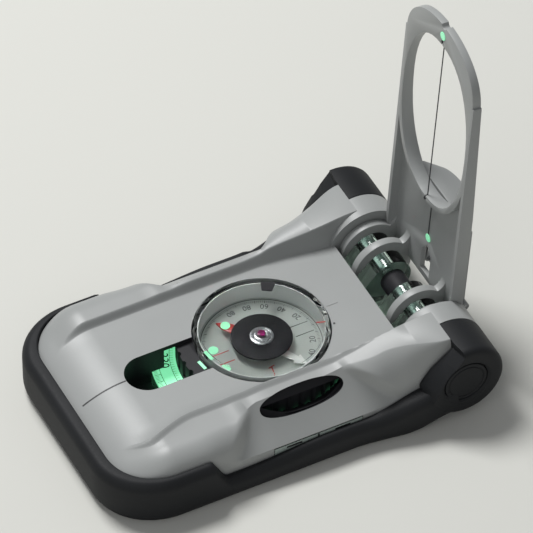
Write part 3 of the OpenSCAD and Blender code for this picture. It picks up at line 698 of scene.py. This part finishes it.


# Dial ring and scale ring: a black toothed ring for the thumbs, and a flange in luminous
# paint under the deck, printed with degrees, two bands of ticks and thin circles. Its glow is painted
# light that keeps it bright in the shade under the deck.
def tick_group():
    """A ring of short radial bars, made by instancing one bar on a circle."""
    group = bpy.data.node_groups.new("tick_ring", "GeometryNodeTree")
    group.interface.new_socket("Geometry", in_out="OUTPUT", socket_type="NodeSocketGeometry")
    group.interface.new_socket("Count", in_out="INPUT", socket_type="NodeSocketInt")
    for name in ("Radius", "Length", "Width", "Height"):
        group.interface.new_socket(name, in_out="INPUT", socket_type="NodeSocketFloat")
    group.interface.new_socket("Ink", in_out="INPUT", socket_type="NodeSocketMaterial")
    entry = group.nodes.new("NodeGroupInput")
    leave = group.nodes.new("NodeGroupOutput")
    link = group.links.new
    ring = group.nodes.new("GeometryNodeMeshCircle")
    link(entry.outputs["Count"], ring.inputs["Vertices"])
    link(entry.outputs["Radius"], ring.inputs["Radius"])
    size = group.nodes.new("ShaderNodeCombineXYZ")
    link(entry.outputs["Length"], size.inputs["X"])
    link(entry.outputs["Width"], size.inputs["Y"])
    size.inputs["Z"].default_value = 0.04 * MM
    bar = group.nodes.new("GeometryNodeMeshCube")
    link(size.outputs["Vector"], bar.inputs["Size"])
    step = group.nodes.new("ShaderNodeMath")
    step.operation = "DIVIDE"
    step.inputs[0].default_value = math.tau
    link(entry.outputs["Count"], step.inputs[1])
    index = group.nodes.new("GeometryNodeInputIndex")
    angle = group.nodes.new("ShaderNodeMath")
    angle.operation = "MULTIPLY"
    link(index.outputs["Index"], angle.inputs[0])
    link(step.outputs["Value"], angle.inputs[1])
    turn = group.nodes.new("ShaderNodeCombineXYZ")
    link(angle.outputs["Value"], turn.inputs["Z"])
    spread = group.nodes.new("GeometryNodeInstanceOnPoints")
    link(ring.outputs["Mesh"], spread.inputs["Points"])
    link(bar.outputs["Mesh"], spread.inputs["Instance"])
    link(turn.outputs["Vector"], spread.inputs["Rotation"])
    lift = group.nodes.new("ShaderNodeCombineXYZ")
    link(entry.outputs["Height"], lift.inputs["Z"])
    move = group.nodes.new("GeometryNodeTransform")
    link(spread.outputs["Instances"], move.inputs["Geometry"])
    link(lift.outputs["Vector"], move.inputs["Translation"])
    solid = group.nodes.new("GeometryNodeRealizeInstances")
    link(move.outputs["Geometry"], solid.inputs["Geometry"])
    ink = group.nodes.new("GeometryNodeSetMaterial")
    link(solid.outputs["Geometry"], ink.inputs["Geometry"])
    link(entry.outputs["Ink"], ink.inputs["Material"])
    link(ink.outputs["Geometry"], leave.inputs["Geometry"])
    return group


TICKS = tick_group()
TICK_W = 0.09
NUMBER_T = 0.02


def ticks(count, r0, r1, width, height, ink):
    """A plain mesh of radial ticks between two radii, in millimetres."""
    piece = linked("ticks", bpy.data.meshes.new("ticks"), ink)
    maker = piece.modifiers.new("ticks", "NODES")
    maker.node_group = TICKS
    values = {
        "Count": count, "Radius": (r0 + r1) / 2 * MM, "Length": (r1 - r0) * MM, "Width": width * MM,
        "Height": height * MM, "Ink": ink}
    for item in TICKS.interface.items_tree:
        if item.in_out == "INPUT":
            maker[item.identifier] = values[item.name]
    mesh = baked(piece).data
    bpy.data.objects.remove(piece)
    return mesh


def hoop(r, width, z):
    """A thin flat circle of print."""
    r0, r1 = r - width / 2, r + width / 2
    return lathe([(r0, z), (r1, z), (r1, z + PRINT_T), (r0, z + PRINT_T)], 128)


def number(text, size, r, phi, z):
    """A printed number on a ring, with its head towards the middle."""
    curve = bpy.data.curves.new("number", "FONT")
    curve.body = text
    curve.align_x = "CENTER"
    curve.align_y = "CENTER"
    curve.size = size * MM
    curve.extrude = NUMBER_T * MM
    curve.resolution_u = 3
    holder = bpy.data.objects.new("number", curve)
    bpy.context.scene.collection.objects.link(holder)
    mesh = bpy.data.meshes.new_from_object(holder.evaluated_get(bpy.context.evaluated_depsgraph_get()))
    bpy.data.objects.remove(holder)
    bpy.data.curves.remove(curve)
    a = math.radians(phi)
    place = Matrix.Translation((r * math.cos(a) * MM, r * math.sin(a) * MM, (z + NUMBER_T) * MM))
    mesh.transform(place @ Matrix.Rotation(math.radians(phi + 90), 4, "Z"))
    return mesh


def luminous_paint(name, glow):
    """Pale green luminous paint, whose glow is partly painted light that keeps it bright in shade."""
    return finish(
        name, (0.3, 0.72, 0.47), (0.42, 0.84, 0.58), (0.4, 0.55), (3000, 120), 0.08,
        Emission_Color=(0.25, 1.0, 0.5, 1), Emission_Strength=glow)


# Luminous marks: real luminous paint, with its glow raised as painted light so that they stay bright.
luminous = luminous_paint("luminous", 0.35)
# The scale ring glows twice as strongly: painted light that brightens it in the shade under the deck.
luminous_ring_with_painted_glow = luminous_paint("luminous_ring_with_painted_glow", 0.7)
SCALE_Z = 8.4
SCALE_OUT = 27.5
NUMBER_R = 24.3
# Direction of the number 0 on the ring, in degrees; the others follow clockwise
FIRST_NUMBER = 130
eased("dial_ring", black_plastic, "black_plastic", "dial", 0.12)
refinish("scale_ring", luminous_ring_with_painted_glow)
scale_print = [
    ticks(360, 26.5, SCALE_OUT, TICK_W, SCALE_Z, dark_ink),
    ticks(72, 25.9, SCALE_OUT, 0.14, SCALE_Z, dark_ink),
    ticks(180, 21.9, 22.7, TICK_W, SCALE_Z, dark_ink),
    hoop(25.8, 0.12, SCALE_Z),
    hoop(22.8, 0.12, SCALE_Z)]
for value in range(0, 360, 30):
    scale_print.append(number(str(value), 3.4, NUMBER_R, FIRST_NUMBER - value, SCALE_Z))
placed(linked("scale_print", joined(scale_print, "scale_print"), dark_ink), "black_plastic", "dial")


# Thumb guards: a ribbed black apron behind each thumb window, moulded to the inside of the
# shell, that lets the thumb reach the teeth and hides the printed ring.
def guard():
    """One apron, swept round the dial's axis behind the far window."""
    start = 51
    stations = 157
    stations_per_rib = 8
    foot, inner, outer = 9.0, 21.7, 24.9
    rows = []
    for i in range(stations):
        a = math.radians(start + i / 2)
        rib = 0.2 * max(0.0, math.sin(math.tau * i / stations_per_rib))
        section = [(inner + rib, foot), (inner + 0.1 + rib, 10.3), (outer, 12.6), (outer, foot)]
        rows.append([(r * math.cos(a), r * math.sin(a), z) for r, z in section])
    return loft_mesh("guard", rows)


guards = linked("thumb_guards", joined(both_sides(guard()), "thumb_guards"), black_plastic)
placed(smoothed(guards, 40), "black_plastic", "case")


# Capsule: a clear cup over a pale printed card, with a pale seal and liner under its rim, and
# a dark marker, a red index line and luminous bars on top. The card has a slope scale, and
# black and red lines beside the meridian.
clear_capsule = finish(
    "clear_capsule", (0.95, 0.98, 0.97), (0.98, 0.99, 0.99), (0.0, 0.03), (600, 40), 0.0,
    Transmission_Weight=1.0, IOR=1.1, Specular_IOR_Level=0.4)
pale_card = finish("pale_card", (0.44, 0.47, 0.44), (0.5, 0.53, 0.5), (0.5, 0.65), (3000, 80), 0.05)
liner_white = finish("liner_white", (0.74, 0.76, 0.74), (0.8, 0.82, 0.8), (0.4, 0.5), (2600, 80), 0.03)
red_paint = finish(
    "red_paint", (0.42, 0.014, 0.012), (0.55, 0.03, 0.02), (0.25, 0.35), (2500, 90), 0.04)
CARD_Z = 11.1
COVER_TOP = 17.12
MARKER_TURN = 57
LINER_IN = 15.6
LINER_OUT = 15.85
LINER_Z = 11.15
TICK_OUT = 14.6
SLOPE_NUMBER_R = 12.7
MERIDIAN_Y = 1.7
RED_MARK_TURN = -20
FRONT_TURN = 8.6


def turned(mesh, degrees):
    """The mesh turned about the dial's axis."""
    mesh.transform(Matrix.Rotation(math.radians(degrees), 4, "Z"))
    return mesh


def flat(z):
    """A level surface for a strip to lie on."""
    return lambda x: z


refinish("capsule_cover", clear_capsule)
refinish("capsule_base", pale_card)
refinish("dial_card", pale_card)
refinish("orienting_dots", luminous)
marker = rounded([(12.4, -1.3, 0.3), (15.3, -1.9, 0.3), (15.3, 1.9, 0.3), (12.4, 1.3, 0.3)])
marker = turned(prism(marker, COVER_TOP, COVER_TOP + 0.23), MARKER_TURN)
placed(linked("rim_marker", marker, black_plastic), "black_plastic", "dial", "dial_marker")
liner = lathe([(LINER_IN, LINER_Z), (LINER_OUT, LINER_Z), (LINER_OUT, DECK_Z), (LINER_IN, DECK_Z)])
placed(smoothed(linked("capsule_liner", liner, liner_white), 40), "pale_card", "dial")
refinish("capsule_seal", liner_white)
card_print = [
    ticks(180, 14.0, TICK_OUT, TICK_W, CARD_Z, dark_ink),
    ticks(36, 13.8, TICK_OUT, 0.16, CARD_Z, dark_ink),
    hoop(15.1, 0.2, CARD_Z)]
for phi in (-40, -20, 20, 40, 60, 80, 100):
    slope = str(min(abs(phi), 180 - phi))
    card_print.append(number(slope, 2.2, SLOPE_NUMBER_R, phi, CARD_Z))
for y in (-MERIDIAN_Y, MERIDIAN_Y):
    card_print.append(strip([(8.6, y), (13.6, y)], 0.22, flat(CARD_Z)))
placed(linked("card_print", joined(card_print, "card_print"), dark_ink), "black_plastic", "dial")
# A short mark shaped like a T, two lines beside the meridian and an index line on the cover
red_print = [
    strip([(-1.3, -7.9), (-1.8, -10.6)], 0.3, flat(CARD_Z)),
    strip([(-0.4, -7.7), (-2.2, -8.1)], 0.3, flat(CARD_Z))]
for y in (-MERIDIAN_Y, MERIDIAN_Y):
    red_print.append(strip([(-15.4, y), (-8.2, y)], 0.25, flat(CARD_Z)))
red_index = strip([(13.5, 0), (15.8, 0)], 0.35, flat(COVER_TOP), 2 * PRINT_T)
red_print.append(turned(red_index, RED_MARK_TURN))
placed(linked("red_print", joined(red_print, "red_print"), red_paint), "red_paint", "dial")


def bar_mark(r, z, length):
    """A luminous bar across the front of the capsule."""
    width = 0.8
    outline = box_outline(-r - width / 2, -length / 2, -r + width / 2, length / 2)
    return turned(prism(outline, z, z + 0.12), FRONT_TURN)


front_bars = [bar_mark(15.9, 16.95, 3.2), bar_mark(17.9, 14.78, 3.0)]
placed(linked("front_bars", joined(front_bars, "front_bars"), luminous), "luminous", "dial")


# Needle and slope pointer on their post: red painted needle with a luminous dot, a dark
# disc, a turned bearing cap with steps, and a ruby jewel.
refinish("pivot_post", turned_steel)
NEEDLE_TURN = 129
DISC_TOP = 13.85
BEARING_R = 3.0
BEARING_HOLE_R = 0.7
disc_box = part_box("needle_disc")
disc_r = (disc_box[1][0] - disc_box[0][0]) / 2 / MM
needle = eased("needle", red_paint, "red_paint", "needle", 0.08)
# The tail ends under the disc
tail = turned(prism(box_outline(-disc_r - 4, -4, 0.2 - disc_r, 4), 10, 16), NEEDLE_TURN)
cut(needle, tail, red_paint)
disc_black = finish(
    "disc_black", (0.012, 0.012, 0.014), (0.02, 0.02, 0.023), (0.55, 0.57), (3000, 60), 0.0,
    Specular_IOR_Level=0.1)
eased("needle_disc", disc_black, "black_plastic", "needle", 0.08)
refinish("needle_magnet", turned_steel)
bearing = lathe(rounded([
    (BEARING_HOLE_R, DISC_TOP, 0.02), (BEARING_R, DISC_TOP, 0.05), (BEARING_R, DISC_TOP + 0.32, 0.12),
    (2.5, DISC_TOP + 0.44, 0.05), (2.4, DISC_TOP + 0.3, 0.05), (2.25, DISC_TOP + 0.3, 0.05),
    (2.15, DISC_TOP + 0.72, 0.2), (1.55, DISC_TOP + 0.92, 0.1), (1.4, DISC_TOP + 0.7, 0.08),
    (BEARING_HOLE_R, DISC_TOP + 0.7, 0.02)], 3))
placed(smoothed(linked("bearing_cap", bearing, turned_steel), 35), "steel", "needle", "needle_bearing")
ruby = finish("ruby", (0.2, 0.008, 0.09), (0.3, 0.012, 0.13), (0.05, 0.1), (900, 200), 0.0)
eased("needle_jewel", ruby, "ruby", "needle", 0.12)
refinish("needle_dot", luminous)
pale_pointer = finish(
    "pale_pointer", (0.74, 0.75, 0.72), (0.8, 0.81, 0.78), (0.4, 0.5), (2600, 80), 0.04)
eased("clino_pointer", pale_pointer, "pale_card", "slope_pointer", 0.06)


# Lid: a folding frame in the same painted plastic, with a dark wire across its window and
# two luminous dots that line up with it. A dark line runs down the panel to the lower dot.
LID_OPEN = 94
LID_RISE = 7
LINE_NEAR = 15.9
LINE_FAR = 28.6
LINE_HALF_W = 0.2
dark_wire = finish(
    "dark_wire", (0.05, 0.05, 0.055), (0.09, 0.09, 0.095), (0.3, 0.42), (6000, 200), 0.05,
    Metallic=1.0)
eased("lid_frame", silver_paint, "painted_plastic", "lid", 0.2)
refinish("sighting_wire", dark_wire)
refinish("wire_anchors", dark_wire)
sight_line = box_outline(-LINE_FAR, -LINE_HALF_W, -LINE_NEAR, LINE_HALF_W)
sight_line = prism(sight_line, LID_RISE - 0.07, LID_RISE + 0.05)
hinge = Matrix.Translation((HINGE_X * MM, 0, HINGE_Z * MM))
sight_line.transform(hinge @ Matrix.Rotation(math.radians(LID_OPEN), 4, "Y"))
placed(linked("sight_line", sight_line, dark_ink), "black_plastic", "lid")
refinish("upper_dot", luminous)
refinish("lower_dot", luminous)


# Mirror: a polished plate let into a painted leaf, which folds away from the lid's back
# on a steel pin between two lugs.
mirror_face = finish(
    "mirror_face", (0.86, 0.87, 0.88), (0.9, 0.9, 0.91), (0.01, 0.03), (500, 30), 0.0, Metallic=1.0)
eased("mirror_leaf", silver_paint, "painted_plastic", "mirror", 0.25)
refinish("mirror_plate", mirror_face)
refinish("mirror_pin", turned_steel)
